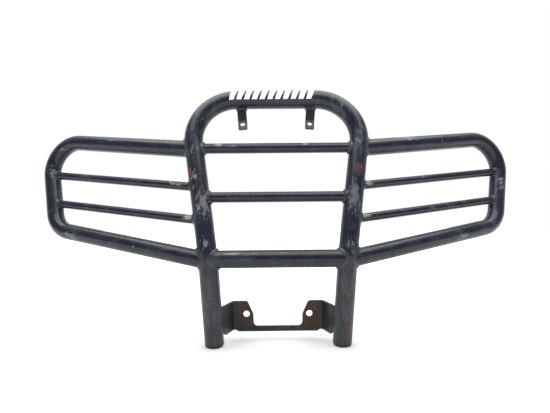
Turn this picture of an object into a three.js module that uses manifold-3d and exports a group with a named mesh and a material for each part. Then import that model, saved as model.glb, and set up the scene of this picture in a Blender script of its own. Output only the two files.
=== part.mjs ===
// Front grille guard for a small all-terrain vehicle.
//
// A rigid welded frame: a hoop of bent steel tube that stands on its two lower
// legs, three crossbars, a swept wing on each side with two rods across it, two
// strap tabs under the top of the hoop, and one formed mounting bracket at the
// foot. A plastic plug closes the lower end of each leg.
//
// Millimetres. Z is up, Y points back towards the vehicle and X to the right as
// seen from in front, so "left" is the -X side. The origin is on the rear face
// of the mounting bracket, midway along its strap.

import * as THREE from "three";
import { mergeVertices } from "three/addons/utils/BufferGeometryUtils.js";
import Module from "manifold-3d";

// ---------------------------------------------------------------- stock sizes

const HOOP_RADIUS = 15.875; // 1-1/4 in tube
const HOOP_BORE = 14.2; // 16 gauge wall
const FRAME_RADIUS = 14.3; // 1-1/8 in tube: wings and lower crossbar
const FRAME_BORE = 12.7;
const BAR_RADIUS = 8.75; // 11/16 in tube: upper and middle crossbars
const BAR_BORE = 7.1;
const ROD_RADIUS = 7.15; // 9/16 in round bar across the wings
const BRACKET_THICKNESS = 4;
const TAB_THICKNESS = 3;
const BEAD_RADIUS = 1.8; // weld beads
const GAP = 0.3; // clearance left between touching pieces

// ------------------------------------------------------------ hoop and crossbars

const KNEE = new THREE.Vector3(111, -74, 130.5); // right knee, on the tube axis
const LEG_SPLAY = 0.161; // outward run of a hoop leg per mm of height
const HOOP_LEAN = 0.28; // backward run of the hoop per mm of height
const HOOP_TOP_Z = 402.5;
const HOOP_CORNER_BEND = 74; // bend radii are on the tube axis
const KNEE_BEND = 45;
const FOOT = new THREE.Vector3(107, -38, -15.5); // lower end of the right leg
const CROSSBAR_HEIGHTS = { upper: 313.5, middle: 229.5 };

const PLUG_FLANGE = 2.8;
const PLUG_STEM_RADIUS = 13.9;
const PLUG_STEM_LENGTH = 14;

// ------------------------------------------------------------------------ wings

const WING_SWEEP = 0.364; // backward run per mm outward from the hoop leg
const WING_TOP_LEG_Z = 312.2; // heights where the tube axis meets the leg axis
const WING_BOTTOM_LEG_Z = 128.5;
const WING_TOP_CORNER = { x: 449.8, z: 347.2 }; // where the straight runs cross
const WING_BOTTOM_CORNER = { x: 410.9, z: 174.7 };
const WING_TOP_BEND = 52;
const WING_BOTTOM_BEND = 48;
const WING_SETBACK = 4; // the wing tube starts this far out from the leg's axis
const WING_RODS = {
  upper: { legZ: 246.5, outerZ: 278 },
  lower: { legZ: 191.5, outerZ: 223.5 },
};

// ------------------------------------------------------------- tabs and bracket

const TAB_WIDTH = 16;
const TAB_ROOT_X = 62.5; // where the tab's centreline meets the tube axis
const TAB_LEAN = THREE.MathUtils.degToRad(4.6); // foot leans to the middle
const TAB_DROP = 37.5; // tube axis to the fold
const TAB_FOLD = THREE.MathUtils.degToRad(29); // lower part turns forward
const TAB_FOOT_LENGTH = 19.3; // fold to the rounded end
const TAB_HOLE_RADIUS = 4.25;
const TAB_HOLE_DROP = 7.6; // fold to the hole centre
const TAB_CORNER = 2.5;
const TAB_BEND = 5;

const STRAP_BOTTOM_Z = -5.5;
const STRAP_TOP_Z = 4;
const EAR_TOP_Z = 48;
const EAR_HOLE = { x: 55.2, z: 25.1, radius: 5.6 };
const BRACKET_CORNER_X = 78.5; // where plate and flange centrelines cross
const BRACKET_BEND = 6;
const FLANGE_ANGLE = THREE.MathUtils.degToRad(20); // away from straight ahead
const FLANGE_LENGTH = 56;
const FLANGE_BOTTOM_Z = -2.5;
const RELIEF = { innerX: 68.8, outerX: 74 }; // step up from strap to flange
const CHAMFER = { lowX: 89.3, highX: 110, highZ: 40 }; // line that trims the flange's foot
const EAR_EDGE = { topX: 53.6, slantX: 43.3, slantZ: 25.4, rootX: 42.7 }; // inner edge of an ear
const EAR_ROUND = 4;
const EAR_FILLET = 8;
const BRACKET_WELD_HEIGHTS = [14, 44];

// ------------------------------------------------------------------------ decal

const DECAL_FILM = 0.5;
const DECAL_LEFT_X = -85;
const DECAL_RIGHT_X = 69;
const DECAL_BAND = { low: -2.5, high: 14 }; // height above the tube axis

// ------------------------------------------------------------------------ looks

const paint = { color: 0x24272d, roughness: 0.42, metalness: 0.3 };
const rustyPaint = { color: 0x3d322c, roughness: 0.7, metalness: 0.3 };
const weldPaint = { color: 0x303238, roughness: 0.5, metalness: 0.4 };
const plugPlastic = { color: 0x17181a, roughness: 0.65, metalness: 0 };
const decalWhite = { color: 0xe8e8e4, roughness: 0.5, metalness: 0 };

// --------------------------------------------------------------- solid modelling

const wasm = await Module();
wasm.setup();

function toSolid(geometry) {
  const bare = geometry.clone();
  bare.deleteAttribute("normal");
  bare.deleteAttribute("uv");
  const merged = mergeVertices(bare, 1e-4);
  return new wasm.Manifold(
    new wasm.Mesh({
      numProp: 3,
      vertProperties: new Float32Array(merged.attributes.position.array),
      triVerts: new Uint32Array(merged.index.array),
    }),
  );
}

function toGeometry(solid) {
  const { vertProperties, triVerts } = solid.getMesh();
  const geometry = new THREE.BufferGeometry();
  geometry.setAttribute("position", new THREE.BufferAttribute(new Float32Array(vertProperties), 3));
  geometry.setIndex(new THREE.BufferAttribute(new Uint32Array(triVerts), 1));
  geometry.computeVertexNormals();
  return geometry;
}

const guard = new THREE.Group();

function addPiece(name, solid, look) {
  const mesh = new THREE.Mesh(toGeometry(solid), new THREE.MeshStandardMaterial(look));
  mesh.name = name;
  guard.add(mesh);
}

// A bent tube's axis: straight runs joined by circular bends. It has one station
// at each end of a straight run and one every few degrees round a bend.
class BentPath extends THREE.Curve {
  constructor(points, bendRadii, degreesPerStep = 12.5) {
    super();
    const first = points[1].clone().sub(points[0]).normalize();
    this.stations = [{ point: points[0], tangent: first }];
    bendRadii.forEach((radius, i) => {
      this.addBend(points[i], points[i + 1], points[i + 2], radius, degreesPerStep);
    });
    const last = points.at(-1).clone().sub(points.at(-2)).normalize();
    this.stations.push({ point: points.at(-1), tangent: last });
    this.steps = this.stations.length - 1;
  }

  addBend(before, corner, after, radius, degreesPerStep) {
    const along = corner.clone().sub(before).normalize();
    const leaving = after.clone().sub(corner).normalize();
    const turn = along.angleTo(leaving);
    const inward = leaving.clone().addScaledVector(along, -Math.cos(turn)).normalize();
    const start = corner.clone().addScaledVector(along, -radius * Math.tan(turn / 2));
    const count = Math.ceil(THREE.MathUtils.radToDeg(turn) / degreesPerStep);
    for (let i = 0; i <= count; i += 1) {
      const angle = (turn * i) / count;
      const point = start.clone().addScaledVector(along, radius * Math.sin(angle));
      point.addScaledVector(inward, radius * (1 - Math.cos(angle)));
      const tangent = along.clone().multiplyScalar(Math.cos(angle));
      tangent.addScaledVector(inward, Math.sin(angle));
      this.stations.push({ point, tangent });
    }
  }

  getUtoTmapping(u) {
    return u;
  }

  getPoint(t, target = new THREE.Vector3()) {
    return target.copy(this.stations[Math.round(t * this.steps)].point);
  }

  getTangent(t, target = new THREE.Vector3()) {
    return target.copy(this.stations[Math.round(t * this.steps)].tangent);
  }

  distanceTo(point) {
    const nearest = new THREE.Vector3();
    let distance = Infinity;
    for (let i = 0; i < this.steps; i += 1) {
      const run = new THREE.Line3(this.stations[i].point, this.stations[i + 1].point);
      run.closestPointToPoint(point, true, nearest);
      distance = Math.min(distance, nearest.distanceTo(point));
    }
    return distance;
  }
}

function tube(path, radius, bore = 0, sides = 20) {
  const section = new THREE.Shape().absarc(0, 0, radius, 0, Math.PI * 2);
  if (bore > 0) {
    section.holes.push(new THREE.Path().absarc(0, 0, bore, 0, Math.PI * 2));
  }
  const options = {
    extrudePath: path,
    steps: path.steps,
    curveSegments: sides / 2, // an arc gets two sides for each segment
    bevelEnabled: false,
  };
  return toSolid(new THREE.ExtrudeGeometry(section, options));
}

// A flat outline in X and Z, given depth along Y between two planes.
function plate(outline, frontY, backY, curveSegments = 6) {
  const options = { depth: backY - frontY, curveSegments, bevelEnabled: false };
  const geometry = new THREE.ExtrudeGeometry(outline, options);
  geometry.rotateX(Math.PI / 2);
  geometry.translate(0, backY, 0);
  return toSolid(geometry);
}

// The edge outline of sheet bent along a path that lies in X and Y.
function bentSheetOutline(path, thickness) {
  const half = thickness / 2;
  const offset = (side) =>
    path.stations.map(({ point, tangent }) => {
      const x = point.x - side * half * tangent.y;
      return new THREE.Vector2(x, point.y + side * half * tangent.x);
    });
  return new THREE.Shape([...offset(-1), ...offset(1).reverse()]);
}

function mirrored(point, side) {
  return new THREE.Vector3(point.x * side, point.y, point.z);
}

const SIDES = [
  ["left", -1],
  ["right", 1],
];

// -------------------------------------------------------------------------- hoop

function legPoint(z) {
  const rise = z - KNEE.z;
  return new THREE.Vector3(KNEE.x + LEG_SPLAY * rise, KNEE.y + HOOP_LEAN * rise, z);
}

const legDirection = FOOT.clone().sub(KNEE).normalize();
const hoopEnd = FOOT.clone().addScaledVector(legDirection, -PLUG_FLANGE - GAP);
const hoopCorner = legPoint(HOOP_TOP_Z);

const hoopPath = new BentPath(
  [hoopEnd, KNEE, hoopCorner].map((point) => mirrored(point, -1))
    .concat([hoopCorner, KNEE, hoopEnd]),
  [KNEE_BEND, HOOP_CORNER_BEND, HOOP_CORNER_BEND, KNEE_BEND],
);
const hoopCutter = tube(hoopPath, HOOP_RADIUS + GAP);

addPiece("hoop_tube", tube(hoopPath, HOOP_RADIUS, HOOP_BORE), paint);

// --------------------------------------------------------------------- end plugs

for (const [sideName, side] of SIDES) {
  const profile = [
    new THREE.Vector2(0, 0),
    new THREE.Vector2(HOOP_RADIUS - 1, 0),
    new THREE.Vector2(HOOP_RADIUS, 1),
    new THREE.Vector2(HOOP_RADIUS, PLUG_FLANGE),
    new THREE.Vector2(PLUG_STEM_RADIUS, PLUG_FLANGE),
    new THREE.Vector2(PLUG_STEM_RADIUS, PLUG_STEM_LENGTH),
    new THREE.Vector2(0, PLUG_STEM_LENGTH),
  ];
  const plug = new THREE.LatheGeometry(profile, 20);
  const up = mirrored(legDirection, side).negate();
  plug.applyQuaternion(new THREE.Quaternion().setFromUnitVectors(new THREE.Vector3(0, 1, 0), up));
  plug.translate(...mirrored(FOOT, side));
  addPiece(`leg_end_plug_${sideName}`, toSolid(plug), plugPlastic);
}

// --------------------------------------------------------------------- crossbars

function crossbar(name, end, radius, bore, sides) {
  const path = new BentPath([mirrored(end, -1), end], []);
  addPiece(name, tube(path, radius, bore, sides).subtract(hoopCutter), paint);
  return path;
}

const crossbarPaths = {
  upper: crossbar("upper_crossbar", legPoint(CROSSBAR_HEIGHTS.upper), BAR_RADIUS, BAR_BORE, 16),
  middle: crossbar("middle_crossbar", legPoint(CROSSBAR_HEIGHTS.middle), BAR_RADIUS, BAR_BORE, 16),
  lower: crossbar("lower_crossbar", KNEE, FRAME_RADIUS, FRAME_BORE, 20),
};

// ------------------------------------------------------------------------- wings

// A point of the wing's plane, which runs through the leg's axis and sweeps back.
function wingPoint(x, z) {
  const leg = legPoint(z);
  return new THREE.Vector3(x, leg.y + WING_SWEEP * (x - leg.x), z);
}

function outerTubeX(z) {
  const { x, z: low } = WING_BOTTOM_CORNER;
  const slope = (WING_TOP_CORNER.x - x) / (WING_TOP_CORNER.z - low);
  return x + slope * (z - low);
}

function wingRoot(legZ, corner) {
  const onAxis = legPoint(legZ);
  const outward = corner.clone().sub(onAxis).normalize();
  return onAxis.addScaledVector(outward, WING_SETBACK);
}

const topCorner = wingPoint(WING_TOP_CORNER.x, WING_TOP_CORNER.z);
const bottomCorner = wingPoint(WING_BOTTOM_CORNER.x, WING_BOTTOM_CORNER.z);
const wingOutline = [
  wingRoot(WING_TOP_LEG_Z, topCorner),
  topCorner,
  bottomCorner,
  wingRoot(WING_BOTTOM_LEG_Z, bottomCorner),
];
const wingPaths = {};
const rodPaths = {};

for (const [sideName, side] of SIDES) {
  const outline = wingOutline.map((point) => mirrored(point, side));
  const path = new BentPath(outline, [WING_TOP_BEND, WING_BOTTOM_BEND]);
  const wing = tube(path, FRAME_RADIUS, FRAME_BORE).subtract(hoopCutter);
  wingPaths[sideName] = path;
  addPiece(`wing_tube_${sideName}`, wing, paint);

  const wingCutter = tube(path, FRAME_RADIUS + GAP);
  for (const [rodName, { legZ, outerZ }] of Object.entries(WING_RODS)) {
    const inner = mirrored(legPoint(legZ), side);
    const outer = mirrored(wingPoint(outerTubeX(outerZ), outerZ), side);
    const rodPath = new BentPath([inner, outer], []);
    const rod = tube(rodPath, ROD_RADIUS, 0, 14).subtract(hoopCutter).subtract(wingCutter);
    rodPaths[`${rodName}_${sideName}`] = rodPath;
    addPiece(`wing_rod_${rodName}_${sideName}`, rod, paint);
  }
}

// -------------------------------------------------------------------------- tabs

// Both are strap bent across its width: the root stands straight down from the
// tube and the foot turns forward. The outline is drawn in Y and Z.
for (const [sideName, side] of SIDES) {
  const sheetPath = new BentPath(
    [
      new THREE.Vector3(0, 0, 0),
      new THREE.Vector3(0, -TAB_DROP, 0),
      new THREE.Vector3(
        -TAB_FOOT_LENGTH * Math.sin(TAB_FOLD),
        -TAB_DROP - TAB_FOOT_LENGTH * Math.cos(TAB_FOLD),
        0,
      ),
    ],
    [TAB_BEND],
    10,
  );
  const sheet = new THREE.ExtrudeGeometry(bentSheetOutline(sheetPath, TAB_THICKNESS), {
    depth: TAB_WIDTH,
    bevelEnabled: false,
  });
  sheet.translate(0, 0, -TAB_WIDTH / 2);

  const hole = new THREE.CylinderGeometry(TAB_HOLE_RADIUS, TAB_HOLE_RADIUS, 20, 20);
  hole.rotateZ(Math.PI / 2 - TAB_FOLD);
  hole.translate(
    -TAB_HOLE_DROP * Math.sin(TAB_FOLD),
    -TAB_DROP - TAB_HOLE_DROP * Math.cos(TAB_FOLD),
    0,
  );

  const half = TAB_WIDTH / 2;
  const length = TAB_FOOT_LENGTH;
  const rounded = new THREE.Shape();
  rounded.moveTo(-half, TAB_DROP * 2);
  rounded.lineTo(-half, TAB_CORNER - length);
  rounded.absarc(TAB_CORNER - half, TAB_CORNER - length, TAB_CORNER, Math.PI, Math.PI * 1.5);
  rounded.absarc(half - TAB_CORNER, TAB_CORNER - length, TAB_CORNER, Math.PI * 1.5, Math.PI * 2);
  rounded.lineTo(half, TAB_DROP * 2);
  const blank = new THREE.ExtrudeGeometry(rounded, {
    depth: TAB_DROP * 2,
    curveSegments: 4,
    bevelEnabled: false,
  });
  blank.translate(0, 0, -TAB_DROP);
  blank.rotateY(Math.PI / 2);
  blank.rotateZ(-TAB_FOLD);
  blank.translate(0, -TAB_DROP, 0);

  // Stand the sheet up: its drawing plane becomes Y and Z, its width runs along X.
  const place = new THREE.Matrix4().makeTranslation(side * TAB_ROOT_X, hoopCorner.y, HOOP_TOP_Z);
  place.multiply(new THREE.Matrix4().makeRotationY(side * TAB_LEAN));
  place.multiply(new THREE.Matrix4().set(0, 0, 1, 0, 1, 0, 0, 0, 0, 1, 0, 0, 0, 0, 0, 1));
  for (const geometry of [sheet, hole, blank]) {
    geometry.applyMatrix4(place);
  }
  const tab = toSolid(sheet).intersect(toSolid(blank)).subtract(toSolid(hole)).subtract(hoopCutter);
  addPiece(`tab_${sideName}`, tab, paint);
}

// ----------------------------------------------------------------------- bracket

// One formed plate. The middle is a low strap with an upright ear at each end,
// and beyond each ear the plate bends forward into a flange that meets the leg.
const flangeDirection = new THREE.Vector3(Math.sin(FLANGE_ANGLE), -Math.cos(FLANGE_ANGLE), 0);
const flangeRoot = new THREE.Vector3(BRACKET_CORNER_X, -BRACKET_THICKNESS / 2, 0);
const flangeEnd = flangeRoot.clone().addScaledVector(flangeDirection, FLANGE_LENGTH);

const bracketPath = new BentPath(
  [mirrored(flangeEnd, -1), mirrored(flangeRoot, -1), flangeRoot, flangeEnd],
  [BRACKET_BEND, BRACKET_BEND],
);
const bracketBlank = new THREE.ExtrudeGeometry(bentSheetOutline(bracketPath, BRACKET_THICKNESS), {
  depth: EAR_TOP_Z - STRAP_BOTTOM_Z,
  bevelEnabled: false,
});
bracketBlank.translate(0, 0, STRAP_BOTTOM_Z);

// The gap between the ears, above the strap. It is drawn from right to left.
const { topX, slantX, slantZ, rootX } = EAR_EDGE;
const slope = (topX - slantX) / (EAR_TOP_Z - slantZ);
const roundX = topX - EAR_ROUND * slope;
const openX = topX + EAR_ROUND;
const filletX = rootX - EAR_FILLET;
const filletZ = STRAP_TOP_Z + EAR_FILLET;
const earGap = new THREE.Shape();
earGap.moveTo(openX, EAR_TOP_Z + EAR_ROUND);
earGap.lineTo(openX, EAR_TOP_Z);
earGap.quadraticCurveTo(topX, EAR_TOP_Z, roundX, EAR_TOP_Z - EAR_ROUND);
earGap.lineTo(slantX, slantZ);
earGap.lineTo(rootX, filletZ);
earGap.quadraticCurveTo(rootX, STRAP_TOP_Z, filletX, STRAP_TOP_Z);
earGap.lineTo(-filletX, STRAP_TOP_Z);
earGap.quadraticCurveTo(-rootX, STRAP_TOP_Z, -rootX, filletZ);
earGap.lineTo(-slantX, slantZ);
earGap.lineTo(-roundX, EAR_TOP_Z - EAR_ROUND);
earGap.quadraticCurveTo(-topX, EAR_TOP_Z, -openX, EAR_TOP_Z);
earGap.lineTo(-openX, EAR_TOP_Z + EAR_ROUND);

const BEHIND = 10; // cutters run this far behind the plate
const AHEAD = -80;
let bracket = toSolid(bracketBlank).subtract(plate(earGap, -BEHIND, BEHIND));

for (const [, side] of SIDES) {
  // Relief at the foot of the bend, raised flange edge and chamfered corner.
  const underside = new THREE.Shape([
    new THREE.Vector2(side * RELIEF.innerX, STRAP_BOTTOM_Z - 1),
    new THREE.Vector2(side * RELIEF.innerX, STRAP_BOTTOM_Z),
    new THREE.Vector2(side * RELIEF.outerX, FLANGE_BOTTOM_Z),
    new THREE.Vector2(side * CHAMFER.lowX, FLANGE_BOTTOM_Z),
    new THREE.Vector2(side * CHAMFER.highX, CHAMFER.highZ),
    new THREE.Vector2(side * CHAMFER.highX, STRAP_BOTTOM_Z - 1),
  ]);
  const hole = new THREE.CylinderGeometry(EAR_HOLE.radius, EAR_HOLE.radius, 2 * BEHIND, 28);
  hole.translate(side * EAR_HOLE.x, 0, EAR_HOLE.z);
  bracket = bracket.subtract(plate(underside, AHEAD, BEHIND)).subtract(toSolid(hole));
}
addPiece("lower_bracket", bracket.subtract(hoopCutter), rustyPaint);

// ------------------------------------------------------------------------- decal

// A thin film on the upper front of the hoop's top run.
const filmRadius = HOOP_RADIUS + GAP;
const filmHeight = DECAL_BAND.high - DECAL_BAND.low;
const filmDepth = 2 * HOOP_RADIUS;
const filmBlank = new THREE.BoxGeometry(DECAL_RIGHT_X - DECAL_LEFT_X, filmDepth, filmHeight);
filmBlank.translate(
  (DECAL_RIGHT_X + DECAL_LEFT_X) / 2,
  hoopCorner.y - filmDepth / 2,
  HOOP_TOP_Z + DECAL_BAND.low + filmHeight / 2,
);
const film = tube(hoopPath, filmRadius + DECAL_FILM, filmRadius).intersect(toSolid(filmBlank));
addPiece("front_decal", film, decalWhite);

// ------------------------------------------------------------------------- welds

const CLEAR = BEAD_RADIUS + GAP; // from a surface to the middle of a bead

// The distance at which a point, moved along a direction, comes to lie a given
// distance from a path. It starts nearer than that and ends farther away.
function reach(start, direction, path, distance, limit = 60) {
  let near = 0;
  let far = limit;
  for (let i = 0; i < 24; i += 1) {
    const middle = (near + far) / 2;
    const point = start.clone().addScaledVector(direction, middle);
    if (path.distanceTo(point) < distance) {
      near = middle;
    } else {
      far = middle;
    }
  }
  return near;
}

// A bead right round a branch tube where it lands on a bent tube. The middle of
// the bead keeps the same distance from both surfaces.
function ringBead(name, anchor, outward, branchRadius, mainPath, mainRadius, sides) {
  const ring = new THREE.TorusGeometry(branchRadius + CLEAR, BEAD_RADIUS, 6, sides);
  const turn = new THREE.Quaternion().setFromUnitVectors(new THREE.Vector3(0, 0, 1), outward);
  const vertices = ring.attributes.position;
  const vertex = new THREE.Vector3();
  for (let i = 0; i < vertices.count; i += 1) {
    vertex.fromBufferAttribute(vertices, i);
    const radial = new THREE.Vector3(vertex.x, vertex.y, 0).setLength(branchRadius + CLEAR);
    const start = radial.applyQuaternion(turn).add(anchor);
    vertices.setZ(i, vertex.z + reach(start, outward, mainPath, mainRadius + CLEAR));
  }
  ring.applyQuaternion(turn);
  ring.translate(...anchor);
  addPiece(name, toSolid(ring), weldPaint);
}

function straightBead(name, from, to) {
  const run = to.clone().sub(from);
  const bead = new THREE.CapsuleGeometry(BEAD_RADIUS, run.length(), 3, 8);
  const turn = new THREE.Quaternion().setFromUnitVectors(new THREE.Vector3(0, 1, 0), run.normalize());
  bead.applyQuaternion(turn);
  bead.translate(...from.clone().add(to).multiplyScalar(0.5));
  addPiece(name, toSolid(bead), weldPaint);
}

for (const [sideName, side] of SIDES) {
  const barEnd = (path) => (side < 0 ? path.stations[0] : path.stations.at(-1)).point;
  const toMiddle = new THREE.Vector3(-side, 0, 0);
  for (const [barName, path] of Object.entries(crossbarPaths)) {
    const radius = barName === "lower" ? FRAME_RADIUS : BAR_RADIUS;
    const sides = barName === "lower" ? 20 : 16;
    const name = `${barName}_crossbar_weld_${sideName}`;
    ringBead(name, barEnd(path), toMiddle, radius, hoopPath, HOOP_RADIUS, sides);
  }

  const wing = wingPaths[sideName];
  const { point: topRoot, tangent: topRun } = wing.stations[0];
  const { point: bottomRoot, tangent: bottomRun } = wing.stations.at(-1);
  const bottomOut = bottomRun.clone().negate();
  ringBead(`wing_weld_top_${sideName}`, topRoot, topRun, FRAME_RADIUS, hoopPath, HOOP_RADIUS, 20);
  ringBead(`wing_weld_bottom_${sideName}`, bottomRoot, bottomOut, FRAME_RADIUS, hoopPath, HOOP_RADIUS, 20);

  for (const rodName of Object.keys(WING_RODS)) {
    const [inner, outer] = rodPaths[`${rodName}_${sideName}`].stations;
    const back = outer.tangent.clone().negate();
    const name = `rod_weld_${rodName}`;
    ringBead(`${name}_inner_${sideName}`, inner.point, inner.tangent, ROD_RADIUS, hoopPath, HOOP_RADIUS, 14);
    ringBead(`${name}_outer_${sideName}`, outer.point, back, ROD_RADIUS, wing, FRAME_RADIUS, 14);
  }

  const tabClear = TAB_THICKNESS / 2 + CLEAR;
  const drop = Math.sqrt((HOOP_RADIUS + CLEAR) ** 2 - tabClear ** 2);
  const tabX = side * (TAB_ROOT_X - drop * Math.sin(TAB_LEAN));
  const halfRun = TAB_WIDTH / 2 + 0.4;
  for (const [faceName, facing] of [["front", -1], ["rear", 1]]) {
    const y = hoopCorner.y + facing * tabClear;
    const from = new THREE.Vector3(tabX - halfRun, y, HOOP_TOP_Z - drop);
    const to = new THREE.Vector3(tabX + halfRun, y, HOOP_TOP_Z - drop);
    straightBead(`tab_weld_${faceName}_${sideName}`, from, to);
  }

  // Beads in the two corners between the bracket's flange and the leg.
  const forward = mirrored(flangeDirection, side);
  const inward = new THREE.Vector3(-side * Math.cos(FLANGE_ANGLE), -Math.sin(FLANGE_ANGLE), 0);
  for (const [faceName, facing] of [["inner", 1], ["outer", -1]]) {
    const ends = BRACKET_WELD_HEIGHTS.map((z) => {
      const start = mirrored(flangeRoot, side).setZ(z).addScaledVector(forward, FLANGE_LENGTH);
      start.addScaledVector(inward, facing * (BRACKET_THICKNESS / 2 + CLEAR));
      const backward = forward.clone().negate();
      const run = reach(start, backward, hoopPath, HOOP_RADIUS + CLEAR, 40);
      return start.addScaledVector(backward, run);
    });
    straightBead(`bracket_weld_${faceName}_${sideName}`, ...ends);
  }
}

export default guard;
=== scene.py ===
import math

import bmesh
import bpy
import numpy as np
from mathutils import Matrix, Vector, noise


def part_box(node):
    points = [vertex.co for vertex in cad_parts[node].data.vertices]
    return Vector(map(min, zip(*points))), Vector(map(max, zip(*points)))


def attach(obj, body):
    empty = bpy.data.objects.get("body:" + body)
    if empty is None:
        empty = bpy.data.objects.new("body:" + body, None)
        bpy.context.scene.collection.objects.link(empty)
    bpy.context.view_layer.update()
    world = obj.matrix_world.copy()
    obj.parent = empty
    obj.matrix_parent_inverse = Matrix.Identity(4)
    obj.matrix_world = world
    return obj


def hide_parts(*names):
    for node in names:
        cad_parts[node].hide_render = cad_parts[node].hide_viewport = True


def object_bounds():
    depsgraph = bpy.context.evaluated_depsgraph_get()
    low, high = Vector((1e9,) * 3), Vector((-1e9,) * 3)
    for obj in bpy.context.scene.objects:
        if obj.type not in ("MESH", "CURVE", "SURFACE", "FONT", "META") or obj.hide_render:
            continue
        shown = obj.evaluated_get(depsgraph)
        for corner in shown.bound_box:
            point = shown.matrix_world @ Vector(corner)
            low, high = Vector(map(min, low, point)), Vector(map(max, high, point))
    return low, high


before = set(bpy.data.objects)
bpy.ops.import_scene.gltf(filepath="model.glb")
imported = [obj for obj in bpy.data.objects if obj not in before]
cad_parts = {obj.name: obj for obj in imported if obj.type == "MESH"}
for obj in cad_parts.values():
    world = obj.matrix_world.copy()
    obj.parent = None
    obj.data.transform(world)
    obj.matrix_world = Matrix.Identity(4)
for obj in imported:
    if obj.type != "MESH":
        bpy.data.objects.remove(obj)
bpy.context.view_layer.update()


# ------------------------------------------------------------------ hoop tube
# The upright of the guard: one length of 1-1/4 in steel tube bent four times,
# so that it stands on its own two lower legs. It is sprayed in a blue-black
# semi-gloss, scuffed and stained on the uprights and dull below the knees.
# The long blue-grey streaks down the fronts of the uprights are scuffs and
# also a painted sheen, where light runs down the round of the tube.

MM = 0.001
HOOP_RADIUS = 15.875
HOOP_BORE = 14.2
KNEE = np.array([111.0, -74.0, 130.5])
FOOT = np.array([107.0, -38.0, -15.5])
LEG_SPLAY = 0.161
HOOP_LEAN = 0.28
HOOP_TOP_Z = 402.5
HOOP_CORNER_BEND = 74.0
KNEE_BEND = 45.0
PLUG_FLANGE = 2.8
GAP = 0.3
HALVINGS = 26
OFF_AXIS = np.array([0.31, 0.87, 0.38])
SIDES = {"left": -1.0, "right": 1.0}


def unit(v):
    return np.asarray(v, float) / np.linalg.norm(v)


def mirrored(point, side):
    return np.array([point[0] * side, point[1], point[2]])


def bent_axis(corners, bends, step=math.radians(3)):
    """Points and tangents along straight runs joined by circular bends."""
    points = [corners[0]]
    tangents = [unit(corners[1] - corners[0])]
    for before, corner, after, radius in zip(corners, corners[1:], corners[2:], bends):
        along, leaving = unit(corner - before), unit(after - corner)
        turn = math.acos(float(along @ leaving))
        inward = unit(leaving - along * math.cos(turn))
        start = corner - along * radius * math.tan(turn / 2)
        for angle in np.linspace(0, turn, math.ceil(turn / step) + 1):
            points.append(start + along * radius * math.sin(angle)
                          + inward * radius * (1 - math.cos(angle)))
            tangents.append(along * math.cos(angle) + inward * math.sin(angle))
    points.append(corners[-1])
    tangents.append(unit(corners[-1] - corners[-2]))
    return np.array(points, float), np.array(tangents, float)


def nearest_on(axis, p):
    """The nearest point of a bent axis to each of the points p."""
    a, b = axis[0][:-1], axis[0][1:]
    run = b - a
    p = np.atleast_2d(p)
    share = np.einsum("pij,ij->pi", p[:, None] - a[None], run) / (run ** 2).sum(1)
    foot = a[None] + np.clip(share, 0, 1)[..., None] * run[None]
    gaps = np.linalg.norm(p[:, None] - foot, axis=2)
    return foot[np.arange(len(p)), gaps.argmin(1)]


def slide_clear(p, direction, axis, distance, limit=70.0):
    """Moves each point along direction until it is that far from the axis."""
    p = np.atleast_2d(p)
    near, far = np.zeros(len(p)), np.full(len(p), limit)
    for _ in range(HALVINGS):
        middle = (near + far) / 2
        q = p + middle[:, None] * direction
        inside = np.linalg.norm(q - nearest_on(axis, q), axis=1) < distance
        near, far = np.where(inside, middle, near), np.where(inside, far, middle)
    return p + near[:, None] * direction


def new_piece(name, vertices, faces, material, nodes, smooth=35.0):
    """A mesh object from millimetre vertices, standing for its CAD nodes."""
    mesh = bpy.data.meshes.new(name)
    mesh.from_pydata([tuple(v) for v in np.asarray(vertices) * MM], [], faces)
    bm = bmesh.new()
    bm.from_mesh(mesh)
    bmesh.ops.recalc_face_normals(bm, faces=bm.faces)
    bm.to_mesh(mesh)
    bm.free()
    mesh.polygons.foreach_set("use_smooth", [True] * len(mesh.polygons))
    mesh.set_sharp_from_angle(angle=math.radians(smooth))
    mesh.materials.append(material)
    piece = bpy.data.objects.new(name, mesh)
    bpy.context.scene.collection.objects.link(piece)
    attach(piece, "root")
    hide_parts(*nodes)
    return piece


def rings_along(axis, radius, sides):
    """One ring of points at each station, turned as little as possible."""
    points, tangents = axis
    across = unit(np.cross(tangents[0], OFF_AXIS))
    rings = []
    for point, tangent in zip(points, tangents):
        across = unit(across - tangent * (across @ tangent))
        other = np.cross(tangent, across)
        angles = np.linspace(0, 2 * math.pi, sides, endpoint=False)[:, None]
        rings.append(point + radius * (np.cos(angles) * across + np.sin(angles) * other))
    return np.array(rings)


def skin(rows, sides, first=0):
    """Quads between neighbouring rings of points."""
    return [
        (first + i * sides + j, first + i * sides + (j + 1) % sides,
         first + (i + 1) * sides + (j + 1) % sides, first + (i + 1) * sides + j)
        for i in range(rows - 1) for j in range(sides)
    ]


def tube(name, axis, radius, bore, material, node, sides=56, landings=()):
    """A round tube, or a rod if the bore is 0. A landing (end, axis, distance)
    cuts that end to sit on another tube."""
    walls = [rings_along(axis, r, sides) for r in (radius, bore) if r > 0]
    for end, onto, distance in landings:
        outward = axis[1][0] if end == 0 else -axis[1][-1]
        for wall in walls:
            wall[end] = slide_clear(wall[end], outward, onto, distance)
    rows = len(axis[0])
    vertices = np.concatenate([w.reshape(-1, 3) for w in walls])
    faces = skin(rows, sides)
    last = (rows - 1) * sides
    if bore > 0:
        inner = rows * sides
        faces += skin(rows, sides, inner)
        for ring in (0, last):
            faces += [(ring + j, ring + (j + 1) % sides,
                       inner + ring + (j + 1) % sides, inner + ring + j)
                      for j in range(sides)]
    else:
        faces += [tuple(range(sides)), tuple(range(last, last + sides))]
    return new_piece(name, vertices, faces, material, [node])


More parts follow.
